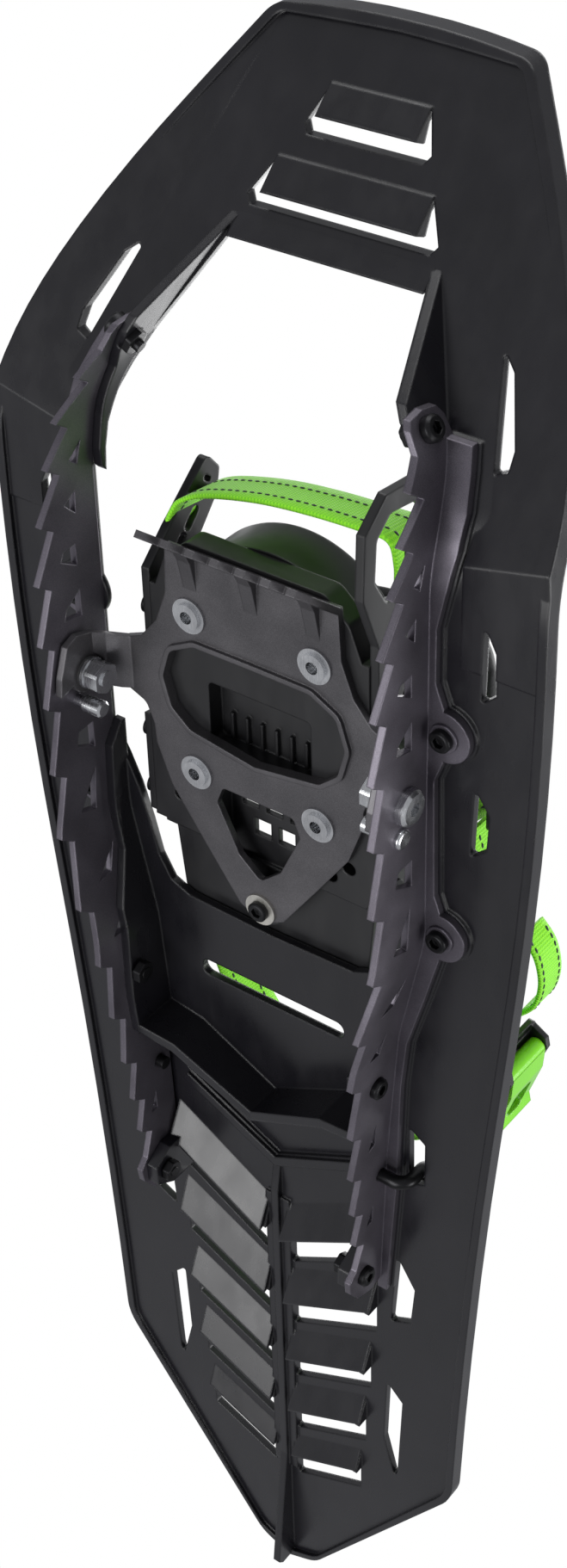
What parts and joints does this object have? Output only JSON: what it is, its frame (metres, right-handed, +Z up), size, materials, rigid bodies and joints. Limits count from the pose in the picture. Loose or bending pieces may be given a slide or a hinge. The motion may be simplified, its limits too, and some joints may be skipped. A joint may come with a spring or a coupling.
{
  "type": "snowshoe",
  "caption": "Moulded-deck snowshoe with toothed steel rails, a pivoting crampon and strap binding, a heel-lift bail and cam-lever buckles.",
  "frame": {"origin": "middle of the shoe's plan box, on the ground under the rails' tooth tips", "axes": "+X across the shoe, +Y towards the upturned toe, +Z up"},
  "size_m": [0.2098, 0.6428, 0.1308],
  "materials": {
    "deck_plastic": "moulded charcoal-black plastic, satin",
    "rail_steel": "dark grey painted steel",
    "crampon_steel": "dark grey painted steel",
    "black_steel": "black oxide",
    "bright_steel": "bright zinc or stainless",
    "cream_washer": "pale washer",
    "binding_plastic": "black moulded plastic",
    "pad_rubber": "black rubber",
    "webbing": "lime green webbing with two dark stitched stripes",
    "pad_foam": "black padded fabric",
    "lever_green": "lime green moulded plastic",
    "bushing": "dark nylon"
  },
  "bodies": {
    "frame": {"deck": "deck_plastic", "rail_left": "rail_steel", "rail_right": "rail_steel", "rail_screws": "black_steel", "rail_nuts": "black_steel", "flange_screws": "black_steel", "flange_washers": "rail_steel", "flange_nuts": "bright_steel", "pivot_bolts": "bright_steel", "pivot_washers": "bright_steel", "pivot_nuts": "bright_steel", "stop_pins": "bright_steel"},
    "binding": {"pivot_bushings": "bushing", "crampon_plate": "crampon_steel", "plate_rivets": "bright_steel", "rivet_washers": "bright_steel", "rear_screw": "black_steel", "rear_washer": "cream_washer", "rear_nut": "bright_steel", "binding_base": "binding_plastic", "foot_pad": "pad_rubber", "toe_cradle": "binding_plastic", "toe_lug": "binding_plastic", "toe_loop": "binding_plastic", "side_arm_left": "binding_plastic", "side_arm_right": "binding_plastic", "side_arm_screws": "black_steel", "toe_strap": "webbing", "instep_strap": "webbing", "instep_pad": "pad_foam", "heel_strap": "webbing", "strap_tail": "webbing", "instep_buckle": "binding_plastic", "instep_buckle_pin": "bright_steel", "heel_buckle": "binding_plastic", "heel_buckle_pin": "bright_steel"},
    "heel_bail": {"heel_lift_bar": "black_steel"},
    "instep_cam_lever": {"instep_lever": "binding_plastic"},
    "heel_cam_lever": {"heel_lever": "lever_green"}
  },
  "joints": [
    {"name": "binding_pivot", "type": "hinge", "parent": "frame", "child": "binding", "pos_m": [0, 0.1206, 0.017], "axis": [-1, 0, 0], "range_deg": [0, 45]},
    {"name": "heel_bail_hinge", "type": "hinge", "parent": "frame", "child": "heel_bail", "pos_m": [0, -0.0539, 0.025], "axis": [-1, 0, 0], "range_deg": [0, 45]},
    {"name": "instep_lever_hinge", "type": "hinge", "parent": "binding", "child": "instep_cam_lever", "pos_m": [-0.06077, 0.0796, 0.09668], "axis": [0, 1, 0], "range_deg": [0, 80]},
    {"name": "heel_lever_hinge", "type": "hinge", "parent": "binding", "child": "heel_cam_lever", "pos_m": [-0.07118, -0.03465, 0.084], "axis": [0, 0, -1], "range_deg": [0, 80]}
  ]
}
